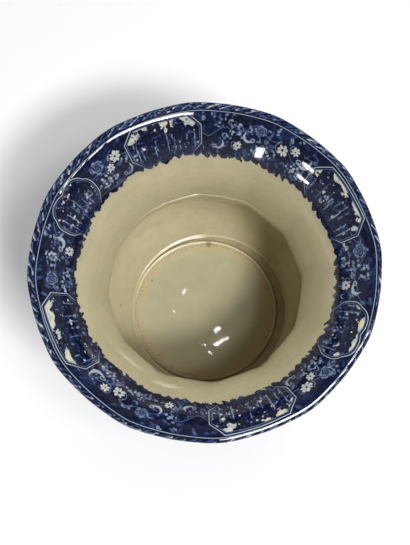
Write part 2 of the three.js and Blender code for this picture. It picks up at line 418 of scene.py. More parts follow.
def mouth_lines():
    """The mouth's closed profile, its V at each point, and where the neck seam's corners are."""
    inside = finer(
        flare(INNER_LIP_RUN, INNER_LIP_RISE, INNER_LIP_ANGLE),
        NECK_HEIGHT + RIDGE_RISE - RIDGE_HALF_WIDTH,
        NECK_HEIGHT + RIDGE_RISE + RIDGE_HALF_WIDTH,
        RIDGE_HALF_WIDTH / 4,
    )
    outside = mouth_outside()
    crest = point(RIM_RADIUS - LIP_CREST_INSET, HEIGHT)
    edge = point(RIM_RADIUS, LIP_EDGE_HEIGHT)
    over = bend(inside[-1], INNER_LIP_ANGLE, crest, 0, LIP_STEPS, (0.6, 0.25))
    rounding = bend(crest, 0, edge, -90, LIP_STEPS, (0.55, 0.3))
    under = bend(edge, -90, outside[-1], FLARE_ANGLE - 180, LIP_STEPS, (0.25, 0.2))
    down_from_crest = over[::-1] + inside[::-1][1:]
    up_to_crest = outside + under[::-1][1:] + rounding[::-1][1:]
    line = up_to_crest + down_from_crest[1:]
    run = lengths(line)
    crest_run = run[len(up_to_crest) - 1]
    return line, [v - crest_run for v in run], (0, len(line) - 1)


def make_mouth(glaze_in, glaze_out):
    line, run, corners = mouth_lines()
    bm = turned(line, run, closed=True, corners=corners)
    press_panels(bm)
    press_by_hand(bm, NECK_HEIGHT, HEIGHT + POTTING_FADE)
    raise_ridge(bm)
    lay_print(bm)
    split_skins(bm, LIP_PRINT_END, run[-1] + 1)
    finish_piece("mouth", bm, "flared_mouth", "printed_glaze", glaze_in, glaze_out)


def slip_ledge(bm):
    """Moves the inner ledge sideways, fading out up the wall and at the floor's edge."""
    place = bm.verts.layers.float["place"]
    slip = heading(LEDGE_SLIP_DIRECTION)
    for vertex in bm.verts:
        if vertex[place] < 0 or radius_of(vertex.co) < FLOOR_RADIUS + 2 * MM:
            continue
        share = 1 - smoothstep(vertex.co.z, LEDGE_HEIGHT, LEDGE_HEIGHT + LEDGE_SLIP_FADE)
        vertex.co.x += slip.x * LEDGE_SLIP * share
        vertex.co.y += slip.y * LEDGE_SLIP * share


def make_belly(glaze_in, glaze_out):
    mouth_run = mouth_lines()[1]
    bore = FLOOR_RADIUS + BORE_GAP
    steps = [
        point(start + out * MM, LEDGE_HEIGHT + up * MM)
        for start, places in ((LEDGE_RADIUS, LEDGE_EDGE), (bore, LEDGE_GROOVE))
        for out, up in places
    ]
    steps += [point(bore, FLOOR_HEIGHT - 0.4 * MM), point(bore, FOOT_HEIGHT)]
    outside = belly_outside()
    inside = belly_inside()[::-1]
    outside_run = lengths(outside[::-1])[::-1]
    inside += steps
    inside_run = lengths(inside)
    line = outside + inside
    run = [mouth_run[0] - v for v in outside_run] + [mouth_run[-1] + v for v in inside_run]
    corners = (0, len(outside) - 1, len(outside), len(line) - 2, len(line) - 1)
    bm = turned(line, run, closed=True, corners=corners)
    press_panels(bm)
    press_by_hand(bm, FOOT_HEIGHT + 8 * MM, NECK_HEIGHT)
    slip_ledge(bm)
    lay_print(bm)
    split_skins(bm, 0, run[-1] + 100)
    finish_piece("belly", bm, "belly_wall", "printed_glaze", glaze_in, glaze_out)


def make_floor(glaze_in, glaze_under):
    """The inner floor, uneven under its glaze and with a raised edge where the glaze gathers."""
    edge = FLOOR_RADIUS + FLOOR_GAP
    foot_of_bead = point(edge - BEAD_FOOT, FLOOR_HEIGHT)
    top_of_bead = point(edge - BEAD_CREST, FLOOR_HEIGHT + BEAD_RISE)
    end_of_bead = point(edge, FLOOR_HEIGHT - BEAD_FALL)
    flat = [
        point(foot_of_bead.x * i / FLOOR_STEPS, FLOOR_HEIGHT) for i in range(FLOOR_STEPS + 1)
    ]
    bead = bend(foot_of_bead, 5, top_of_bead, 0, 6)[1:]
    bead += bend(top_of_bead, 0, end_of_bead, -90, 8, (0.5, 0.4))[1:]
    side = [point(edge, FOOT_HEIGHT), point(0, FOOT_HEIGHT)]
    line = flat + bead + side
    run = lengths(line)
    bm = turned(line, run, closed=False, corners=(len(line) - 2,))
    for vertex in bm.verts:
        if vertex.co.z > FLOOR_HEIGHT - 1 * MM:
            from_edge = FLOOR_RADIUS - radius_of(vertex.co)
            free = smoothstep(from_edge, 5 * MM, 12 * MM)
            vertex.co.z += FLOOR_DEPTH * free * unevenness(vertex.co, FLOOR_LENGTH)
    lay_print(bm)
    for face in bm.faces:
        face.material_index = 1 if face.calc_center_median().z < FOOT_HEIGHT + 0.5 * MM else 0
    finish_piece("floor_plate", bm, "floor_disc", "cream_glaze", glaze_in, glaze_under)


def make_foot(glaze_out, bare_clay):
    """The turned foot: a cove, a bead, a narrow unglazed rest and a hollow underside."""
    seat = point(SEAM_RADIUS, FOOT_HEIGHT)
    seat_inner = FLOOR_RADIUS - FOOT_SEAT
    shoulder = point(FOOT_RADIUS - FOOT_BEAD / 3, FOOT_SHOULDER + FOOT_BEAD)
    belt = point(FOOT_RADIUS, FOOT_SHOULDER)
    rest_outer = point(FOOT_RADIUS - FOOT_BEAD, 0)
    rest_inner = point(rest_outer.x - FOOT_REST, 0)
    cove = bend(seat, -80, shoulder, -15, LIP_STEPS)
    belly_bead = bend(shoulder, -15, belt, -90, LIP_STEPS // 2)
    under_bead = bend(belt, -90, rest_outer, 180, LIP_STEPS)
    recess = bend(rest_inner, 90, point(seat_inner, FOOT_HEIGHT - FOOT_BEAD), 180, LIP_STEPS)
    line = cove + belly_bead[1:] + under_bead[1:] + recess + [point(seat_inner, FOOT_HEIGHT)]
    belly_end = mouth_lines()[1][0] - lengths(belly_outside())[-1]
    run = [belly_end - v for v in lengths(line)]
    corners = (0, len(line) - 1, len(cove + belly_bead[1:] + under_bead[1:]))
    bm = turned(line, run, closed=True, corners=corners)
    lay_print(bm)
    for face in bm.faces:
        middle = face.calc_center_median()
        bare = middle.z < 0.35 * MM and radius_of(middle) > rest_inner.x - 1 * MM
        face.material_index = 1 if bare else 0
    finish_piece("foot", bm, "foot_ring", "printed_glaze", glaze_out, bare_clay)


def through(points, share):
    """A place on the smooth line through the points, at a share of its stretches."""
    last = len(points) - 2
    stretch = min(int(share * (last + 1)), last)
    t = share * (last + 1) - stretch
    before = points[max(stretch - 1, 0)]
    start, end = points[stretch], points[stretch + 1]
    after = points[min(stretch + 2, last + 1)]
    pull_out = (end - before) / 2
    pull_in = (after - start) / 2
    return (
        start * (2 * t**3 - 3 * t**2 + 1)
        + pull_out * (t**3 - 2 * t**2 + t)
        + end * (3 * t**2 - 2 * t**3)
        + pull_in * (t**3 - t**2)
    )


def strap(bm, points, steps, sides, size):
    """Lofts a rounded strap along a line in the XZ plane, ring by ring, with closed ends."""
    before = None
    for step in range(steps + 1):
        share = step / steps
        centre = through(points, share)
        ahead = through(points, min(share + 0.01, 1)) - through(points, max(share - 0.01, 0))
        lean = math.atan2(ahead.x, ahead.y)
        half_width, half_thickness = size(share)
        place = (
            Matrix.Translation((centre.x, 0, centre.y))
            @ Matrix.Rotation(lean, 4, "Y")
            @ Matrix.Diagonal((half_thickness, half_width, 1, 1))
        )
        ring = bmesh.ops.create_circle(
            bm, cap_ends=step in (0, steps), segments=sides, radius=1, matrix=place
        )["verts"]
        edges = list({edge for vertex in ring for edge in vertex.link_edges})
        if before:
            bmesh.ops.bridge_loops(bm, edges=before + edges)
        before = edges


def leaf(bm, height, direction):
    """A lobed leaf in relief on the wall round a handle's root, its point up (1) or down (-1)."""
    first = len(bm.verts)
    line = [bm.verts.new((ring / LEAF_RINGS, 0, 0)) for ring in range(LEAF_RINGS + 1)]
    spin_round(bm, line, LEAF_SPOKES)
    bmesh.ops.remove_doubles(bm, verts=list(bm.verts)[first:], dist=1e-5)
    sheet = list(bm.verts)[first:]
    skin = list({face for vertex in sheet for face in vertex.link_faces})
    for vertex in sheet:
        rise, across, up = leaf_relief(vertex.co.x, vertex.co.y)
        level = height + direction * (LEAF_SHIFT + up)
        turn = across / outer_radius(level)
        radius = wall_radius(turn, level) + rise
        vertex.co = (radius * math.cos(turn), radius * math.sin(turn), level)
    back = bmesh.ops.extrude_face_region(bm, geom=skin)["geom"]
    for vertex in (g for g in back if isinstance(g, bmesh.types.BMVert)):
        level = vertex.co.z
        sunk = wall_radius(turn_of(vertex.co), level) - LEAF_SINK
        vertex.co = outward(vertex.co) * sunk + Vector((0, 0, level))


def leaf_relief(x, y):
    """Height, side place and length place of a point of the leaf, from its place on a unit disc."""
    reach = math.hypot(x, y)
    turn = math.atan2(x, y)
    lobe = 1 - 0.2 * (1 - abs(math.cos(LEAF_LOBES * turn / 2)))
    tip = 1 + 0.3 * max(math.cos(turn), 0) ** 6
    across = LEAF_WIDTH / 2 * lobe * reach * math.sin(turn) * (1 - 0.25 * math.cos(turn))
    up = LEAF_LENGTH / 2 * lobe * tip * reach * math.cos(turn)
    ridge = abs(math.cos(LEAF_LOBES * turn / 2))
    veins = 0.55 * (1 - ridge) ** 2 * smoothstep(reach, 0.2, 0.55)
    swell = math.sqrt(max(1 - reach**4, 0))
    rise = LEAF_THICKNESS * (0.25 + 0.75 * swell * (1 - veins))
    return rise, across, up


def handle_points():
    top, low = outer_radius(HANDLE_TOP_ROOT), outer_radius(HANDLE_LOW_ROOT)
    reach = HANDLE_REACH - HANDLE_THICKNESS / 2
    half = (HANDLE_TOP_ROOT - HANDLE_LOW_ROOT) / 2
    return [
        point(top - WALL / 2, HANDLE_TOP_ROOT - HANDLE_CROWN / 2),
        point(top + (reach - top) * 0.33, HANDLE_TOP_ROOT + HANDLE_CROWN * 0.6),
        point(top + (reach - top) * 0.72, HANDLE_TOP_ROOT + HANDLE_CROWN * 0.7),
        point(reach - HANDLE_THICKNESS * 0.12, HANDLE_TOP_ROOT - half * 0.2),
        point(reach, HANDLE_LOW_ROOT + half),
        point(reach - HANDLE_THICKNESS * 0.5, HANDLE_LOW_ROOT + half * 0.4),
        point(low + (reach - low) * 0.35, HANDLE_LOW_ROOT),
        point(low - WALL / 2, HANDLE_LOW_ROOT - half * 0.12),
    ]


def handle_mesh():
    """The +X handle as one skin: its strap, thumb spur and two leaves, melted together."""
    bm = bmesh.new()

    def strap_size(share):
        spread = 1 + (HANDLE_ROOT_SPREAD - 1) * abs(2 * share - 1) ** 4
        return HANDLE_WIDTH / 2 * spread, HANDLE_THICKNESS / 2 * spread

    def spur_size(share):
        taper = 1 - 0.6 * share
        return SPUR_WIDTH / 2 * taper, HANDLE_THICKNESS / 3 * taper

    strap(bm, handle_points(), 60, 28, strap_size)
    top = outer_radius(HANDLE_TOP_ROOT)
    spur_foot = top + (HANDLE_REACH - top) * 0.45
    crown = HANDLE_TOP_ROOT + HANDLE_CROWN
    spur = [
        point(spur_foot, crown - HANDLE_THICKNESS / 2),
        point(spur_foot + SPUR_LENGTH * 0.38, crown + SPUR_LENGTH * 0.22),
        point(spur_foot + SPUR_LENGTH * 0.9, crown + SPUR_LENGTH * 0.55),
    ]
    strap(bm, spur, 14, 20, spur_size)
    leaf(bm, HANDLE_TOP_ROOT, 1)
    leaf(bm, HANDLE_LOW_ROOT, -1)
    bmesh.ops.recalc_face_normals(bm, faces=bm.faces)
    rough = meshed("handle_parts", bm)
    melt = rough.modifiers.new("melt", "REMESH")
    melt.mode = "VOXEL"
    melt.voxel_size = HANDLE_GRAIN
    seen = bpy.context.evaluated_depsgraph_get()
    melted = bpy.data.meshes.new_from_object(rough.evaluated_get(seen))
    bpy.data.objects.remove(rough)
    for vertex in melted.vertices:
        vertex.co = kept_in_wall(vertex.co)
    return melted


def kept_in_wall(place):
    """A handle's point moved outward where it would reach deeper than half way into the wall."""
    radius = radius_of(place)
    least = wall_radius(turn_of(place), place.z) - WALL / 2
    if radius >= least:
        return place
    return Vector((place.x * least / radius, place.y * least / radius, place.z))


def make_handle(name, node, melted, turn, glaze):
    bm = bmesh.new()
    bm.from_mesh(melted)
    for _ in range(HANDLE_SMOOTHING):
        bmesh.ops.smooth_vert(
            bm, verts=bm.verts, factor=0.5, use_axis_x=True, use_axis_y=True, use_axis_z=True
        )
    bmesh.ops.rotate(bm, verts=bm.verts, cent=(0, 0, 0), matrix=Matrix.Rotation(turn, 3, "Z"))
    finish_piece(name, bm, node, "handle_glaze", glaze)


# Numbers that vary over the glaze, written as arithmetic


def arithmetic(operation, swapped=False):
    """A method of Number that adds a Math node, with the Number as last value where swapped."""
    def method(number, *others):
        values = (*others, number) if swapped else (number, *others)
        return number.sketch.math(operation, *values)

    return method


class Number:
    """One number of a node tree. Sums and products of Numbers add Math nodes."""

    def __init__(self, sketch, socket):
        self.sketch = sketch
        self.socket = socket

    __add__ = __radd__ = arithmetic("ADD")
    __sub__ = arithmetic("SUBTRACT")
    __rsub__ = arithmetic("SUBTRACT", swapped=True)
    __mul__ = __rmul__ = arithmetic("MULTIPLY")
    __truediv__ = arithmetic("DIVIDE")
    __pow__ = arithmetic("POWER")
    __abs__ = arithmetic("ABSOLUTE")
    at_least = arithmetic("MAXIMUM")
    cosine = arithmetic("COSINE")
    sine = arithmetic("SINE")
    root = arithmetic("SQRT")
    whole = arithmetic("FLOOR")
    part = arithmetic("FRACT")

    def __neg__(self):
        return self * -1

    def repeated(self, length):
        """The number wrapped into the stretch of that length round zero."""
        return self.sketch.math("WRAP", self, length / 2, -length / 2)

    def above(self, limit, blur):
        """1 where the number is over the limit and 0 below, with a soft edge blur wide."""
        return self.sketch.math("MULTIPLY_ADD", self - limit, 1 / blur, 0.5, clamp=True)

    def below(self, limit, blur):
        return self.above(limit, -blur)

    def kept(self):
        """The number held between 0 and 1."""
        return self.sketch.math("ADD", self, 0, clamp=True)


class Sketch:
    """Adds nodes to a tree for formulas, noises and cells, in millimetres."""

    COLUMN = 12

    def __init__(self, tree):
        self.tree = tree

    def node(self, kind, inputs=(), **settings):
        """A node with its settings. Its inputs come in order, or by name or number in a dict."""
        made = self.tree.nodes.new(kind)
        place = len(self.tree.nodes)
        made.location = (place // self.COLUMN * 190, -(place % self.COLUMN) * 170)
        for name, value in settings.items():
            setattr(made, name, value)
        for key, value in inputs.items() if isinstance(inputs, dict) else enumerate(inputs):
            self.feed(made.inputs[key], value)
        return made

    def feed(self, socket, value):
        if isinstance(value, Number):
            value = value.socket
        if isinstance(value, bpy.types.NodeSocket):
            self.tree.links.new(value, socket)
        else:
            socket.default_value = value

    def taken(self, socket):
        """A socket that gives one number as a Number, and any other as it is."""
        return Number(self, socket) if socket.type == "VALUE" else socket

    def math(self, operation, *values, clamp=False):
        made = self.node("ShaderNodeMath", values, operation=operation, use_clamp=clamp)
        return Number(self, made.outputs[0])

    def angle(self, x, y):
        return self.math("ARCTAN2", y, x)

    def distance(self, x, y):
        return (x * x + y * y).root()

    def vector(self, x, y, z=0.0):
        return self.node("ShaderNodeCombineXYZ", (x, y, z)).outputs[0]

    def parts(self, vector):
        made = self.node("ShaderNodeSeparateXYZ", (vector,))
        return [Number(self, socket) for socket in made.outputs]

    def place(self):
        """The piece's own x, y and z in millimetres."""
        where = self.node("ShaderNodeTexCoord").outputs["Object"]
        return [number * 1000 for number in self.parts(where)]

    def painted(self, under, cover, value):
        """The number under, with value where cover is 1."""
        inputs = {0: cover, 2: under, 3: value}
        made = self.node("ShaderNodeMix", inputs, data_type="FLOAT", clamp_factor=True)
        return Number(self, made.outputs[0])

    def tinted(self, under, cover, colour):
        """The colour under, with another colour where cover is 1."""
        inputs = {0: cover, 6: under, 7: colour}
        made = self.node("ShaderNodeMix", inputs, data_type="RGBA", clamp_factor=True)
        return made.outputs[2]

    def cloud(self, place, size, detail=2.0, roughness=0.5):
        """Noise with waves of that size."""
        inputs = {"Vector": place, "Scale": 1 / size, "Detail": detail, "Roughness": roughness}
        made = self.node("ShaderNodeTexNoise", inputs, noise_dimensions="3D")
        return Number(self, made.outputs["Fac"])

    def scattered(self, place, size, feature="F1", dimensions="3D"):
        """What cells of that size round scattered middles give, by name."""
        made = self.node(
            "ShaderNodeTexVoronoi", {"Vector": place, "Scale": 1 / size},
            voronoi_dimensions=dimensions, feature=feature,
        )
        return {socket.name: self.taken(socket) for socket in made.outputs if socket.enabled}

    def cells(self, place, size):
        """Scattered cells: x and y from the nearest cell's middle, and its three chance numbers."""
        found = self.scattered(place, size, dimensions="2D")
        offset = self.node("ShaderNodeVectorMath", (place, found["Position"]), operation="SUBTRACT")
        x, y, _ = self.parts(offset.outputs[0])
        return x, y, self.parts(found["Color"])

    def chance(self, number):
        """A chance value from 0 to 1 for each value of the number."""
        made = self.node("ShaderNodeTexWhiteNoise", {"W": number}, noise_dimensions="1D")
        return Number(self, made.outputs["Value"])

    def turned(self, x, y, angle):
        """x and y in a frame turned by the angle."""
        cosine, sine = angle.cosine(), angle.sine()
        return x * cosine + y * sine, y * cosine - x * sine

    def stamp(self, name, **values):
        """Places a motif's node group and returns its outputs by name."""
        made = self.node("ShaderNodeGroup", values, node_tree=MOTIFS[name])
        return {socket.name: self.taken(socket) for socket in made.outputs}


# What a motif's inputs and outputs are, where they aren't numbers
SOCKETS = {"Color": "NodeSocketColor", "Place": "NodeSocketVector"}


def motif(name, inputs, outputs, draw):
    """A node group with inputs and outputs of these names. draw makes the outputs from the inputs."""
    tree = bpy.data.node_groups.new(name, "ShaderNodeTree")
    for labels, side in ((inputs, "INPUT"), (outputs, "OUTPUT")):
        for label in labels:
            kind = SOCKETS.get(label, "NodeSocketFloat")
            tree.interface.new_socket(label, in_out=side, socket_type=kind)
    sketch = Sketch(tree)
    entry = sketch.node("NodeGroupInput").outputs
    drawn = draw(sketch, *(sketch.taken(entry[label]) for label in inputs))
    sketch.node("NodeGroupOutput", dict(zip(outputs, drawn)))
    return tree


def srgb(red, green, blue):
    """A colour given as 0 to 255 on screen, in the linear values that shaders use."""
    def linear(value):
        share = value / 255
        return share / 12.92 if share <= 0.04045 else ((share + 0.055) / 1.055) ** 2.4

    return (linear(red), linear(green), linear(blue), 1.0)


# The pattern's node groups, once they are made
MOTIFS = {}


def draw_daisy(s, x, y, size):
    """Petals, shaded gaps and heart of a daisy round the middle of x and y."""
    loose = s.cloud(s.vector(x, y, size * 7), 2.6, 2) - 0.5
    reach = s.distance(x, y) / size + loose * 0.5
    turn = s.angle(x, y) + loose * 1.3
    lobes = abs((turn * 3.5).cosine())
    petals = (reach - lobes * 0.4).below(0.64, 0.16)
    gaps = reach.above(0.36, 0.12) * lobes.below(0.3, 0.3)
    heart = reach.below(0.2, 0.16)
    curl = abs(reach - 1.2 - (turn * 2 + 0.8).sine() * 0.16).below(0.06, 0.08)
    return petals * (1 - gaps * 0.6), heart, curl * (turn * 1.5).cosine().above(0.1, 0.3)


def draw_bunch(s, x, y, thick):
    """Tiny white flowers crowded where thick is 1: how much they cover, and their ink."""
    flower_x, flower_y, chance = s.cells(s.vector(x, y, 2.0), 3.1)
    reach = s.distance(flower_x, flower_y)
    petal = abs((s.angle(flower_x, flower_y) * 2.5 + chance[0] * 6).cosine())
    cover = (reach - petal * 0.5).below(0.66 + chance[1] * 0.5, 0.4)
    ink = s.painted(0.12 + chance[2] * 0.36, reach.below(0.3, 0.25), 0.6)
    return cover * thick * chance[1].above(0.15, 0.02), ink


def draw_flowered_ground(s, x, y, richness):
    """Cobalt ground with mottled tones and here and there leaves, curls and sprays of flowers."""
    place = s.vector(x, y)
    broad = s.cloud(place, 24, 2)
    middle = s.cloud(place, 4.5, 3, 0.7)
    ink = 0.9 + (broad - 0.5) * 0.45 + (middle - 0.5) * 0.75

    leaf_x, leaf_y, chance = s.cells(place, 6.8)
    along, across = s.turned(leaf_x, leaf_y, chance[0] * 6.28)
    across = across + (middle - 0.5) * 2.4
    blade = abs(across) - 1.5 * (1 - (along / 3.8) ** 2).at_least(0)
    leaves = blade.below(0, 0.7) * chance[1].above(0.35, 0.02)
    leafy = s.cloud(s.vector(x, y, 40.0), 15, 1)
    leaf_ink = 0.72 - leafy.above(0.52, 0.2) * 0.16 + chance[2] * 0.14 + (middle - 0.5) * 0.6
    ink = s.painted(ink, leaves * leafy.above(0.5 - richness * 0.1, 0.1), leaf_ink)

    curl_x, curl_y, chance = s.cells(place, 11.0)
    side_x, side_y = s.turned(curl_x, curl_y, chance[0] * 6.28)
    side_x = side_x + (middle - 0.5) * 2
    outer = s.distance(side_x, side_y * 1.25).below(2.8, 0.4)
    inner = s.distance(side_x - 0.9, side_y * 1.25 - 0.6).above(2.3, 0.4)
    curls = outer * inner * chance[1].above(0.76 - richness * 0.3, 0.02)
    ink = s.painted(ink, curls, 0.3 + chance[2] * 0.34)

    sprays = s.cloud(s.vector(x, y, 80.0), 12, 1).above(0.63 - richness * 0.13, 0.03)
    return (lay(s, ink, "bunch", 0.12, X=x, Y=y, Thick=sprays).kept(),)


def draw_frame(s, distance):
    """A reserve's double frame, from the distance to its outline: cover, ink and inside."""
    band = distance.below(1.1, 0.4)
    first = abs(distance + 0.1).below(0.44, 0.35)
    second = abs(distance + 1.9).below(0.26, 0.35)
    ink = s.painted(0.96, first, 0.2)
    ink = s.painted(ink, second, 0.42)
    return band, ink, distance.below(-2.4, 0.3)


def draw_foliage(s, x, y, u, spread):
    """A reserve's filling: dark massed leaves and stems with gaps of pale sky, y towards the lip.
    U keeps any two reserves from being alike."""
    place = s.vector(u, y, 12.0)
    coarse = s.cloud(place, 9, 1)
    ragged = s.cloud(place, 2.8, 3, 0.7)
    share = abs(x) / spread
    skyline = 15 + (coarse - 0.5) * 42 + (ragged - 0.5) * 16 - (share - 0.5) * 7
    leafage = (skyline - y).above(0, 0.5)
    holes = s.cloud(s.vector(u, y, 33.0), 5.5, 2).above(0.66, 0.02) * y.above(-9, 2)
    tuft_x, tuft_y, chance = s.cells(place, 2.8)
    tuft = s.distance(tuft_x, tuft_y * 1.3).below(1.1, 0.7)
    tone = 0.98 - tuft * chance[0].above(0.5, 0.3) * (0.08 + chance[1] * 0.32)
    tone = tone - s.cloud(place, 7, 2).above(0.52, 0.2) * 0.12
    haze = s.cloud(s.vector(u * 0.4, y, 5.0), 2.6, 1).above(0.52, 0.16) * 0.2
    ink = s.painted(haze, leafage * (1 - holes), tone)

    trunk_x, _, chance = s.cells(s.vector(u + (ragged - 0.5) * 3, y * 0.3, 3.0), 6.2)
    trunk = abs(trunk_x).below(0.6, 0.4) * chance[0].above(0.55, 0.02)
    trunk = trunk * y.above(-12, 0.6) * (y - chance[1] * 11).below(1, 1.5)
    ink = s.painted(ink, trunk * (ragged.above(0.42, 0.16) * 0.6 + 0.3), 0.2 + chance[2] * 0.25)
    blades = ((u + y * 0.7 + (ragged - 0.5) * 7) * 2.1).cosine().above(0.72, 0.3)
    ground = (y + (ragged - 0.5) * 7).below(-12, 0.8)
    ink = s.painted(ink, ground, 0.96 - blades * 0.34)
    thick = s.cloud(s.vector(u, y, 60.0), 8, 1).above(0.6, 0.03) * y.below(4, 2)
    return (lay(s, ink, "bunch", 0.05, X=u, Y=y, Thick=thick).kept(),)


def draw_peony(s, x, y, size):
    """A round full-blown flower of scalloped petals, one inside the other."""
    loose = s.cloud(s.vector(x, y, size * 5), 3, 2) - 0.5
    reach = s.distance(x, y) / size + loose * 0.5
    turn = s.angle(x, y) + loose * 0.8
    wave = abs((turn * 2.5).cosine()) * 0.2
    other = abs((turn * 1.5 + 0.6).sine()) * 0.24
    cover = (reach - wave).below(0.8, 0.12)
    rings = abs(reach - wave - 0.74).below(0.03, 0.08)
    rings = rings.at_least(abs(reach - other - 0.42).below(0.05, 0.08))
    rings = rings.at_least(abs(reach - wave - 0.12).below(0.05, 0.08))
    shade = reach.below(0.55, 0.5) * 0.2 + loose * 0.5
    return cover, s.painted(0.2 + shade, rings, 0.82)


def draw_crescent(s, x, y, size):
    """A curled leaf: a bright crescent with a turned-back tip."""
    loose = s.cloud(s.vector(x, y, size * 3), 3.5, 1) - 0.5
    x = x + loose * 2.2
    outer = s.distance(x, y).below(size, 0.5)
    inner = s.distance(x - size * 0.3, y - size * 0.34).above(size * 0.94, 0.5)
    tip = abs(s.distance(x - size * 0.75, y + size * 0.45) - size * 0.3).below(0.42, 0.4)
    return ((outer * inner).at_least(tip),)


def draw_slanting_leaves(s, along, across, pitch, depth):
    """A running row of slanting leaves, worn in places, across from 0 to depth."""
    share = across / depth
    tone = s.cloud(s.vector(along, across * 2, 7.0), 4.2, 2)
    slide = along / pitch + share * 1.05 + (tone - 0.5) * 0.9
    chance = s.chance(slide.whole())
    side = slide.part() - 0.5
    length = share * 2 - 1
    bulge = (1 - length * length).at_least(0).root()
    leaf_shape = (abs(side) - bulge * 0.36).below(-0.02, 0.1)
    rib = abs(side + 0.04).below(0.04, 0.07) * leaf_shape * chance.above(0.3, 0.1)
    pale = 0.24 + chance * 0.4 + (tone - 0.5) * 2.2
    ink = s.painted(0.95, (0.5 - abs(side)).below(0.13, 0.06) * share.above(0.1, 0.1), pale)
    ink = s.painted(ink, leaf_shape, 0.74 + chance * 0.16 + (tone - 0.5) * 1.9)
    return (s.painted(ink, rib, 0.45).kept(),)


def lay(s, ink, name, lift=0, **values):
    """Lays a motif with cover and ink of its own over the ink, its own ink denser by lift."""
    laid = s.stamp(name, **values)
    return s.painted(ink, laid["Cover"], laid["Ink"] + lift if lift else laid["Ink"])


def lay_daisy(s, ink, x, y, size, petals, heart, curl):
    """Lays a daisy over the ink, each part with an ink of its own."""
    flower = s.stamp("daisy", X=x, Y=y, Size=size)
    ink = s.painted(ink, flower["Petals"], petals)
    ink = s.painted(ink, flower["Heart"], heart)
    return s.painted(ink, flower["Curl"], curl)


def lobed_outline(s, x, y, half_length, half_height, corner, lobes):
    """Distance to the outline of a reserve with round corners and six soft lobes."""
    out_x, out_y = (abs(x) - half_length).at_least(0), (abs(y) - half_height).at_least(0)
    return s.distance(out_x, out_y) - corner - abs((s.angle(x, y) * 3).cosine()) * lobes


def lay_leaves(s, ink, u, down, start, depth, pitch):
    """Lays a row of slanting leaves between two pale lines over the ink, from start downward."""
    row = s.stamp("leaves", Along=u, Across=down - start, Pitch=pitch, Depth=depth)["Ink"]
    reach = abs(down - start - depth / 2)
    ink = s.painted(ink, reach.below(depth / 2 + 2, 0.4), 0.95)
    ink = s.painted(ink, abs(reach - depth / 2 - 1).below(0.4, 0.4), 0.25)
    return s.painted(ink, reach.below(depth / 2, 0.3), row)


def draw_border(s, u, v):
    """The printed border: leaves over the lip, then reserves on flowered ground down to a lacy
    edge. Ink and cover."""
    drift = s.cloud(s.vector(u, v), 70, 0) - 0.5
    y = BORDER_MIDDLE - v + drift * 3
    x = u.repeated(SHEET)
    ink = s.stamp("ground", X=u, Y=v, Richness=0.35)["Ink"]

    swing = s.cloud(s.vector(u, 3.0), 21, 0)
    ink = s.painted(ink, abs(y - 6 - (swing - 0.5) * 30).below(0.36, 0.35), 0.45)

    ragged = (s.cloud(s.vector(u, v, 9.0), 4.5, 2) - 0.5) * 1.6
    thick = 0
    for centre, height, half_length, half_height, slope in BUNCHES:
        side = x - centre
        reach = s.distance(side / half_length, (y - height - side * slope) / half_height)
        thick = (reach + ragged).below(1, 0.12).at_least(thick)
    ink = lay(s, ink, "bunch", X=u, Y=v, Thick=thick)
    for centre, height, size, mirror in CRESCENTS:
        curl = s.stamp("crescent", X=(x - centre) * mirror, Y=y - height, Size=size)
        ink = s.painted(ink, curl["Cover"], 0.2)
    for centre, height, size in PEONIES:
        ink = lay(s, ink, "peony", 0.14, X=x - centre, Y=y - height, Size=size)
    for centre, height, size in DAISIES:
        side, level = x - centre, y - height
        ink = s.painted(ink, s.distance(side, level).below(size * 1.15, 0.8), 0.93)
        ink = lay_daisy(s, ink, side, level, size, 0.08, 0.8, 0.34)

    for centre in PANEL_CENTRES:
        side = x - centre
        flat_x, flat_y = abs(side) - PANEL_HALF_LENGTH, abs(y) - PANEL_HALF_HEIGHT
        cut = (flat_x + flat_y + PANEL_CUT) * 0.7071
        outline = flat_x.at_least(flat_y).at_least(cut)
        ink = lay_reserve(s, ink, outline, side, y, u, PANEL_HALF_LENGTH)
    for centre in LOBED_CENTRES:
        outline = lobed_outline(s, x - centre, y, *LOBED_RESERVE)
        ink = lay_reserve(s, ink, outline, x - centre, y, u, LOBED_HALF_LENGTH)

    ink = s.painted(ink, (v - 34).above(0, 8) * 0.35, 0.95)
    uneven = s.cloud(s.vector(u, v, 5.0), 7.5, 1) - 0.5
    broad = s.cloud(s.vector(u, v, 15.0), 24, 1)
    lobes = abs((u * (math.pi * EDGE_LOBES / SHEET) + uneven * 4).sine())
    small = abs((u * (math.pi * EDGE_SCALLOPS / SHEET)).sine())
    lobes = lobes * (broad.above(0.45, 0.2) * 2.4 + 0.9)
    beyond = v - (BORDER_DEPTH - 4.2 + lobes + small * 0.6 + uneven * 9)
    ink = s.painted(ink, beyond.above(-2.4, 0.5), 0.96)
    veins = abs(beyond + 1.5 + small * 0.5).below(0.3, 0.4) * broad.above(0.5, 0.05)
    ink = s.painted(ink, veins, 0.5)
    return lay_leaves(s, ink, u, -v, *LEAF_BANDS[0]), beyond.below(0, 0.6)


def lay_reserve(s, ink, outline, x, y, u, spread):
    """Lays a framed reserve and its filling over the ink, by the distance to the outline."""
    frame_line = s.stamp("frame", Distance=outline)
    filling = s.stamp("foliage", X=x, Y=y, U=u, Spread=spread)["Ink"]
    ink = s.painted(ink, frame_line["Cover"], frame_line["Ink"])
    return s.painted(ink, frame_line["Inside"], filling)


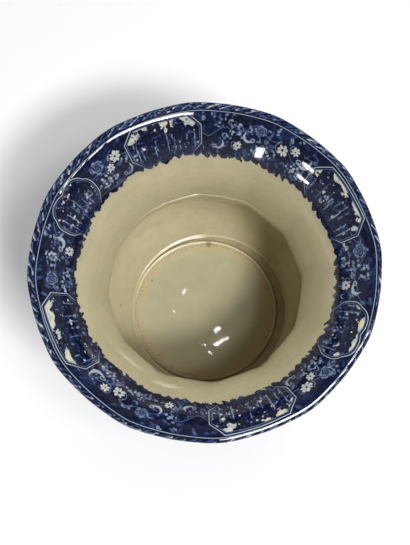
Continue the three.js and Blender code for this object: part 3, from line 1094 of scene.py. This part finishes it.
def draw_cobalt(s, ink, brown):
    """Colour of the print under its glaze, from the density of the ink."""
    ramp = s.node("ShaderNodeValToRGB", (ink,))
    stops = (
        (0.0, srgb(214, 206, 172)),
        (0.12, srgb(186, 192, 186)),
        (0.3, srgb(136, 150, 168)),
        (0.5, srgb(76, 92, 130)),
        (0.7, srgb(37, 50, 90)),
        (0.86, srgb(18, 27, 56)),
        (1.0, srgb(6, 11, 32)),
    )
    while len(ramp.color_ramp.elements) < len(stops):
        ramp.color_ramp.elements.new(0.5)
    for element, (place, colour) in zip(ramp.color_ramp.elements, stops):
        element.position = place
        element.color = colour
    return (s.tinted(ramp.outputs[0], brown * ink.above(0.75, 0.3), srgb(30, 26, 38)),)


def draw_cream(s, place):
    """Aged cream glaze: colour, roughness and height, with crazing, mottling and specks."""
    x, y, z = s.parts(place)
    broad = s.cloud(place, 42, 2)
    small = s.cloud(place, 8, 3)
    colour = s.tinted(srgb(198, 188, 154), (broad - 0.5) * 2.2 + 0.4, srgb(187, 178, 144))
    colour = s.tinted(colour, small.above(0.58, 0.25) * 0.3, srgb(170, 168, 138))
    rings = s.cloud(s.vector(x / 20, y / 20, z), 2.4, 2)
    colour = s.tinted(colour, rings.above(0.54, 0.2) * 0.1, srgb(158, 148, 110))
    wavy = s.cloud(place, 5, 2) * 2
    crackle = s.scattered(s.vector(x + wavy, y + wavy, z), 6.5, "DISTANCE_TO_EDGE")
    craze = crackle["Distance"].below(0.012, 0.02)
    colour = s.tinted(colour, craze * 0.12, srgb(128, 108, 76))
    specks = s.scattered(place, 17)
    speck = specks["Distance"].below(0.035, 0.02) * s.parts(specks["Color"])[0].above(0.55, 0.02)
    colour = s.tinted(colour, speck * 0.75, srgb(70, 54, 34))
    rough = 0.018 + small.above(0.5, 0.4) * 0.012
    height = broad * 0.3 + small * 0.06 - craze * 0.03
    return colour, rough, height


# Reserves: panels with cut corners, and lobed ones by half length, half height, corner and lobes
PANEL_HALF_LENGTH = 35.5
PANEL_HALF_HEIGHT = 19.4
PANEL_CUT = 11
LOBED_RESERVE = (11.5, 4.5, 12.8, 2.2)
LOBED_HALF_LENGTH = 24
OUTER_RESERVE = (13, 5, 14, 2.4)
OUTER_HALF_LENGTH = 27

# One sheet of the border: the reserves' places along it, flowers as place, height above its middle
# and size, bunches with half length, half height and slope, crescents with the side they turn to
PANEL_CENTRES = (-140, 82)
LOBED_CENTRES = (-36,)
DAISIES = (
    (-93, 6, 5.2),
    (-84, 0, 3.9),
    (6, -8, 4.6),
    (150, 3, 5.4),
    (139, 8, 4.0),
    (192, -8, 4.4),
)
PEONIES = ((-74, 9, 6.5), (34, 6, 6.8), (174, 10, 6.0))
BUNCHES = (
    (-76, -8, 12, 7, 0.2),
    (16, 8, 9, 6, -0.3),
    (32, -10, 10, 6, 0.0),
    (130, -9, 11, 6, 0.2),
    (166, -8, 14, 6, -0.15),
    (199, 8, 10, 7, 0.2),
)
CRESCENTS = (
    (-98, -11, 5.5, 1),
    (2, 4, 6, 1),
    (44, -3, 5, -1),
    (127, 5, 6.5, 1),
    (183, 2, 5.5, -1),
    (210, -8, 5, 1),
    (-192, -8, 5, 1),
)

# The border's lacy edge: how many lobes and small scallops one sheet has
EDGE_LOBES = 46
EDGE_SCALLOPS = 170

# Outside: how many daisies and reserves go round, and how far below the crest their middles lie
OUTER_DAISIES = 12
OUTER_DAISY_DEPTH = 34
OUTER_RESERVES = 8
OUTER_RESERVE_DEPTH = 134

# Bands of leaves outside: how far below the crest each starts, its depth and its leaves' pitch
LEAF_BANDS = ((0.7, 6.6, 10.6), (76, 8, 10.6), (190, 9, 10.6))

# The brushed handles in millimetres: the middle of the strap's bend, how far out the painted lines
# start, and how far to each side they run
STRAP_MIDDLE = (108, 97)
STRAP_START = 112
STRAP_EDGE = 6.6

# How strongly and how deep the glaze's unevenness shows
GLAZE_BUMP = 0.35
GLAZE_DEPTH = 0.4 * MM

# Stains and pits left from firing in the belly: direction round the floor, radius and size
STAINS = ((97, 69.5, 2.6), (161, 62.3, 0.9), (-124, 66.3, 0.8), (-171, 85, 0.8))


def make_motifs():
    """Makes the pattern's node groups, each from those before it: name, inputs and outputs."""
    for name, inputs, outputs, draw in (
        ("daisy", "X Y Size", "Petals Heart Curl", draw_daisy),
        ("bunch", "X Y Thick", "Cover Ink", draw_bunch),
        ("peony", "X Y Size", "Cover Ink", draw_peony),
        ("crescent", "X Y Size", "Cover", draw_crescent),
        ("ground", "X Y Richness", "Ink", draw_flowered_ground),
        ("frame", "Distance", "Cover Ink Inside", draw_frame),
        ("foliage", "X Y U Spread", "Ink", draw_foliage),
        ("leaves", "Along Across Pitch Depth", "Ink", draw_slanting_leaves),
        ("border", "U V", "Ink Cover", draw_border),
        ("cobalt", "Ink Brown", "Color", draw_cobalt),
        ("cream", "Place", "Color Roughness Height", draw_cream),
    ):
        MOTIFS[name] = motif(name, inputs.split(), outputs.split(), draw)


def new_material(name):
    """A new material, its sketch and its Principled shader."""
    material = bpy.data.materials.new(name)
    material.use_nodes = True
    return material, Sketch(material.node_tree), material.node_tree.nodes["Principled BSDF"]


def glaze_material(name, coloured):
    """A material with the cream glaze's surface. coloured gives its colour, from the sketch, the
    cream's colour and the place in millimetres."""
    material, sketch, shader = new_material(name)
    x, y, z = sketch.place()
    cream = sketch.stamp("cream", Place=sketch.vector(x, y, z))
    unevenness = {"Strength": GLAZE_BUMP, "Distance": GLAZE_DEPTH, "Height": cream["Height"]}
    sketch.feed(shader.inputs["Normal"], sketch.node("ShaderNodeBump", unevenness).outputs[0])
    sketch.feed(shader.inputs["Roughness"], cream["Roughness"])
    sketch.feed(shader.inputs["Base Color"], coloured(sketch, cream["Color"], x, y, z))
    return material


def cobalt(s, ink, brown):
    return s.stamp("cobalt", Ink=ink, Brown=brown)["Color"]


def print_place(s):
    """U and V of the piece's print map."""
    return s.parts(s.node("ShaderNodeUVMap", uv_map="print").outputs[0])[:2]


def brown_patches(s, u, v):
    return s.cloud(s.vector(u, v, 30.0), 30, 2).above(0.57, 0.16) * 0.5


def inside_colour(s, cream, x, y, z):
    """Inside of the mouth: the border under the crest, then bare cream glaze."""
    u, v = print_place(s)
    border = s.stamp("border", U=u, V=v)
    flowed = s.tinted(cream, (v - BORDER_DEPTH).below(-1.0, 9.0) * 0.16, srgb(120, 136, 160))
    return s.tinted(flowed, border["Cover"], cobalt(s, border["Ink"], brown_patches(s, u, v)))


def outside_colour(s, cream, x, y, z):
    """Outside: leaves on the lip, flowered ground with daisies on the flare, bands, and reserves
    round the belly."""
    u, v = print_place(s)
    down = -v
    ink = s.stamp("ground", X=u + 300, Y=v, Richness=0.7)["Ink"]
    level = down - OUTER_DAISY_DEPTH - (u / 21).sine() * 8
    ink = lay_daisy(s, ink, u.repeated(AROUND / OUTER_DAISIES), level, 6.4, 0.05, 0.86, 0.25)
    side = (u + AROUND / OUTER_RESERVES / 2).repeated(AROUND / OUTER_RESERVES)
    level = OUTER_RESERVE_DEPTH - down
    outline = lobed_outline(s, side, level, *OUTER_RESERVE)
    ink = lay_reserve(s, ink, outline, side, level, u, OUTER_HALF_LENGTH)
    for band in LEAF_BANDS:
        ink = lay_leaves(s, ink, u, down, *band)
    return cobalt(s, ink, brown_patches(s, u, v))


def pooled_colour(s, cream, x, y, z):
    """Cream glaze of the inside: it pools grey-green on the floor and is darker and browner in the
    groove round it. A pale line along the floor's raised edge is a painted highlight on the side the
    light comes from, and a pale line round the wall at the ledge's edge is a painted highlight too."""
    place = s.vector(x, y, z)
    inside = z.above(FOOT_HEIGHT / MM + 1, 1)
    beyond = s.distance(x, y) - FLOOR_RADIUS / MM
    level = z - LEDGE_HEIGHT / MM
    wander = s.cloud(place, 17, 2) - 0.5
    drift = s.cloud(place, 9, 3, 0.6)

    on_floor = beyond.below(-4, 3) * inside
    pool = (beyond + wander * 26).below(-10, 7) * on_floor
    colour = s.tinted(cream, on_floor * 0.7, srgb(212, 193, 153))
    colour = s.tinted(colour, pool * 0.8, srgb(200, 195, 162))
    colour = s.tinted(colour, pool * wander.above(0.0, 0.4) * 0.5, srgb(177, 177, 151))
    specks = drift.above(0.46, 0.2) * s.cloud(place, 1.5, 1).above(0.66, 0.04)
    near_edge = abs(beyond + 3).below(4, 3) * inside
    colour = s.tinted(colour, specks * near_edge * 0.7, srgb(120, 88, 48))

    # Painted highlight: a pale line along the floor's raised edge, strongest on the side the light
    # comes from
    ridge = abs(beyond + 1.4).below(0.7, 0.6) * z.below(FLOOR_HEIGHT / MM + 1.5, 1) * inside
    highlight_side = (y - x * 0.4).above(10, 120)
    colour = s.tinted(colour, ridge * highlight_side, srgb(244, 230, 192))
    wall = beyond.above(0, 0.4) * inside
    low_wall = level.below(-0.2, 0.3) * wall
    colour = s.tinted(colour, low_wall * drift * 0.6, srgb(140, 118, 78))
    # Darker and browner in the groove round the floor
    groove = beyond.below(1.5, 0.7) * wall
    colour = s.tinted(colour, groove * 0.35, srgb(126, 100, 62))
    # Painted highlight: a pale line round the wall where the ledge's edge catches the light
    ledge_highlight = abs(level - 0.1).below(0.3, 0.3) * wall
    colour = s.tinted(colour, ledge_highlight * 0.5, srgb(232, 220, 186))

    for turn, reach, size in STAINS:
        middle = heading(turn) * reach
        spot = s.distance(x - middle.x, y - middle.y)
        stain = (spot + (drift - 0.5) * 3).below(size, size * 0.8) * inside
        colour = s.tinted(colour, stain * level.below(30, 1) * 0.6, srgb(104, 78, 44))
    return colour


def handle_colour(s, cream, x, y, z):
    """Brushed cobalt on the handles, thinner and paler along the edges of the strap."""
    side = abs(x)
    strap_part = side.above(STRAP_START, 3)
    turn = s.angle(side - STRAP_MIDDLE[0], z - STRAP_MIDDLE[1]) * 30
    strokes = s.cloud(s.vector(turn, y * 3), 7, 3)
    ink = 0.84 + (strokes - 0.5) * 0.7
    ink = s.painted(ink, abs(abs(y) - STRAP_EDGE).below(0.6, 0.6) * strap_part, 0.28)
    chevrons = ((turn + abs(y) * 1.5) * 0.9).cosine().above(0.75, 0.3)
    ink = s.painted(ink, chevrons * abs(y).below(5, 0.6) * strap_part * 0.8, 0.3)
    return cobalt(s, ink.kept(), strokes * 0.3)


def make_bare_clay():
    """The unglazed rest under the foot."""
    material, sketch, shader = new_material("bare_clay")
    grain = sketch.cloud(sketch.vector(*sketch.place()), 1.4, 3)
    colour = sketch.tinted(srgb(206, 190, 158), grain.above(0.5, 0.3), srgb(160, 138, 104))
    sketch.feed(shader.inputs["Base Color"], colour)
    sketch.feed(shader.inputs["Roughness"], 0.72 + grain * 0.2)
    return material


# The photograph's frame and viewpoint
SENSOR = 36
PICTURE_HEIGHT = 545
FOCAL_PIXELS = 796
CAMERA_AZIMUTH = 10
CAMERA_ELEVATION = 73.5
CAMERA_DISTANCE = 4.5 * RIM_RADIUS
RIM_ABOVE_MIDDLE = 10

# The kinds of ray that see the white backdrop
SEEING_RAYS = ("Camera", "Glossy", "Transmission")

# Light levels, with 1 for a white surface that renders white
CEILING_LEVEL = 0.01
CEILING_GLOSS = 0.12
FLOOR_GLOW = 0.01

# Sine of the elevation at which the backdrop in reflections ends, and how soft that edge and the
# walls' are
BACKDROP_TOP = 0.3
BACKDROP_BLUR = 0.2
WALL_BLUR = 0.1

# The floor's white as light finds it and as it is seen, how far it reaches each way, and how far
# out and over what width it fades into the backdrop
FLOOR_WHITE = 0.97
FLOOR_SEEN_WHITE = 1.03
FLOOR_REACH = 12
FLOOR_FADE = (0.85, 0.7)

# Soft key lamps: what they point at (mm), their width, the directions that each reaches between,
# and radiance
KEY_TARGET = (0, 0, 100)
KEY_WIDTH = 0.46
KEYS = (
    ("key", (-55, 53.5), (-31, 53.5), 54),
    ("key_high", (-41, 65), (-9, 65), 18),
)

# The pale walls in two bands: sine of the elevation at which each ends, its mean level, how much
# brighter it is towards its bright side, and the azimuth of that side
LOW_WALLS = (0.34, 1.6, 1.1, 130)
HIGH_WALLS = (0.64, 0.1, 2.2, 102)

# The backdrop below BACKDROP_TOP as reflections see it: its mean level, lean and bright side
GLOSS_WALLS = (0.42, 0.16, -80)

# How far the lamps hang from what they light or what mirrors them: in the room, and close by
FAR = 3.0
NEAR = 0.57

# Windows mirrored in the glaze: what mirrors them (mm), the directions that each reaches between
# (azimuth from +X and elevation, in degrees), width, radiance and distance
WINDOWS = (
    ("front_blob_low", (-129, 40, 187), (-2, 36), (-4.5, 36), 0.065, 34, NEAR),
    ("front_blob", (-124, 60, 187), (-8, 41), (-10, 41), 0.076, 34, NEAR),
    ("front_blob_high", (-120, 66, 187), (-12.7, 41), (-14.5, 41), 0.076, 34, NEAR),
    ("front_blob_end", (-110, 80, 187), (-18.8, 40), (-21, 40), 0.076, 34, NEAR),
    ("front_pane", (-95, 95, 187), (-25.5, 42), (-59.5, 41), 0.114, 28, NEAR),
    ("front_pane_end", (-45, 128, 187), (-66, 38), (-73, 38), 0.08, 26, NEAR),
    ("left_pane", (28, 112, 167), (-115.5, 15.8), (-105.5, 15.3), 0.28, 24, FAR),
    ("far_pane_high", (72, 101, 177), (-136, 23.2), (-133, 22.8), 0.12, 24, FAR),
    ("far_pane_low", (69, 94, 170), (-136, 13.5), (-133, 13.8), 0.12, 26, FAR),
    ("ceiling_pane", (15, -18, 19), (97.6, 78.6), (94.0, 78.1), 0.011, 36, FAR),
    ("ceiling_pane_wide", (22, -30, 19), (97.6, 79.25), (91.2, 78.7), 0.014, 36, FAR),
    ("ceiling_pane_dot", (13, -43, 19), (98.1, 79.9), (98.9, 79.9), 0.012, 70, FAR),
    ("ceiling_pane_speck", (8, -36, 19), (100.2, 79.3), (100.8, 79.3), 0.01, 50, FAR),
    ("ceiling_pane_faint", (-25, 13, 19), (105.3, 75.6), (106.9, 75.7), 0.012, 16, FAR),
    ("ceiling_pane_small", (-30, -7, 19), (108.6, 76.6), (109.0, 76.6), 0.006, 34, FAR),
)


def direction(azimuth, elevation):
    """Unit vector with the azimuth counted from +X towards +Y."""
    a, e = math.radians(azimuth), math.radians(elevation)
    return Vector((math.cos(a) * math.cos(e), math.sin(a) * math.cos(e), math.sin(e)))


def make_camera():
    data = bpy.data.cameras.new("camera")
    data.sensor_width = SENSOR
    data.lens = FOCAL_PIXELS / PICTURE_HEIGHT * SENSOR
    camera = in_scene("camera", data)
    back = direction(CAMERA_AZIMUTH - 90, CAMERA_ELEVATION)
    rim = Vector((0, 0, LIP_EDGE_HEIGHT))
    side = Vector((0, 0, 1)).cross(back).normalized()
    upward = back.cross(side)
    camera.location = rim + back * CAMERA_DISTANCE
    aim = rim - upward * RIM_ABOVE_MIDDLE / FOCAL_PIXELS * CAMERA_DISTANCE
    camera.rotation_mode = "QUATERNION"
    camera.rotation_quaternion = (aim - camera.location).to_track_quat("-Z", "Y")
    bpy.context.scene.camera = camera


def make_lamp(name, target, start, end, distance, width, radiance):
    """A flat lamp that reaches from one direction to another, seen from the target, width wide."""
    target = Vector(target) * MM
    ends = [direction(*way) * distance for way in (start, end)]
    middle = (ends[0] + ends[1]) / 2
    along = ends[1] - ends[0]
    back = middle.normalized()
    side = back.cross(along.normalized())
    data = bpy.data.lights.new(name, "AREA")
    data.shape = "RECTANGLE"
    data.size, data.size_y = along.length, width
    data.energy = radiance * math.pi * along.length * width
    lamp = in_scene(name, data)
    turn = Matrix((along.normalized(), side, back)).transposed().to_4x4()
    lamp.matrix_world = Matrix.Translation(target + middle) @ turn
    return lamp


def make_lights():
    """Soft key lamps, and windows that only show as reflections in the glaze."""
    for name, start, end, radiance in KEYS:
        key = make_lamp(name, KEY_TARGET, start, end, FAR, KEY_WIDTH, radiance)
        key.visible_glossy = False
    for name, target, start, end, width, radiance, distance in WINDOWS:
        window = make_lamp(name, target, start, end, distance, width, radiance)
        window.visible_diffuse = False
        window.visible_camera = False


def make_world():
    """Pale walls and a dim ceiling. Reflections see a backdrop of their own, the camera white."""
    world = bpy.data.worlds.new("studio")
    bpy.context.scene.world = world
    world.use_nodes = True
    sketch = Sketch(world.node_tree)
    path = sketch.node("ShaderNodeLightPath")
    camera, mirrored, passed = (
        Number(sketch, path.outputs[f"Is {kind} Ray"]) for kind in SEEING_RAYS
    )
    east, north, up = sketch.parts(sketch.node("ShaderNodeTexCoord").outputs["Generated"])

    def wall(level, lean, azimuth):
        turn = math.radians(azimuth)
        leaning = east * (lean * math.cos(turn)) + north * (lean * math.sin(turn))
        return (leaning + level).at_least(0)

    walls = CEILING_LEVEL
    for top, level, lean, azimuth in (HIGH_WALLS, LOW_WALLS):
        walls = sketch.painted(walls, up.below(top, WALL_BLUR), wall(level, lean, azimuth))
    low = up.below(BACKDROP_TOP, BACKDROP_BLUR)
    backdrop = sketch.painted(CEILING_GLOSS, low, wall(*GLOSS_WALLS))
    seen = sketch.painted(walls, mirrored + passed, backdrop)
    strength = sketch.painted(seen, camera, 1.0)
    background = world.node_tree.nodes["Background"]
    background.inputs["Color"].default_value = (1, 1, 1, 1)
    sketch.feed(background.inputs["Strength"], strength)


def make_stage():
    """A white floor that keeps the vase's shadow near it and fades into the backdrop."""
    bm = bmesh.new()
    bmesh.ops.create_grid(bm, x_segments=2, y_segments=2, size=FLOOR_REACH)
    floor = meshed("floor", bm)
    material, sketch, shader = new_material("white_floor")
    nodes = material.node_tree.nodes
    nodes.remove(shader)
    path = sketch.node("ShaderNodeLightPath")
    rays = [Number(sketch, path.outputs[f"Is {kind} Ray"]) for kind in SEEING_RAYS]
    seen = sum(rays[1:], rays[0]).kept()
    white = FLOOR_WHITE + seen * (FLOOR_SEEN_WHITE - FLOOR_WHITE)
    matt = sketch.node("ShaderNodeBsdfDiffuse", {"Color": sketch.vector(white, white, white)})
    lift = sketch.node("ShaderNodeEmission", {"Strength": seen * FLOOR_GLOW})
    both = sketch.node("ShaderNodeAddShader", (matt.outputs[0], lift.outputs[0]))
    backdrop = sketch.node("ShaderNodeEmission")
    x, y, _ = sketch.parts(sketch.node("ShaderNodeTexCoord").outputs["Object"])
    far = sketch.distance(x, y).above(*FLOOR_FADE) * seen
    blend = sketch.node("ShaderNodeMixShader", (far, both.outputs[0], backdrop.outputs[0]))
    sketch.feed(nodes["Material Output"].inputs["Surface"], blend.outputs[0])
    floor.data.materials.append(material)


def main():
    bpy.context.scene.view_settings.view_transform = "Standard"
    make_camera()
    make_motifs()
    inside_glaze = glaze_material("printed_inside", inside_colour)
    outside_glaze = glaze_material("printed_outside", outside_colour)
    cream_glaze = glaze_material("aged_cream", pooled_colour)
    handle_glaze = glaze_material("brushed_handle", handle_colour)
    bare_clay = make_bare_clay()
    make_mouth(inside_glaze, outside_glaze)
    make_belly(cream_glaze, outside_glaze)
    make_floor(cream_glaze, cream_glaze)
    make_foot(outside_glaze, bare_clay)
    melted = handle_mesh()
    make_handle("handle_right", "right_handle", melted, 0, handle_glaze)
    make_handle("handle_left", "left_handle", melted, math.pi, handle_glaze)
    bpy.data.meshes.remove(melted)
    make_stage()
    make_world()
    make_lights()


main()
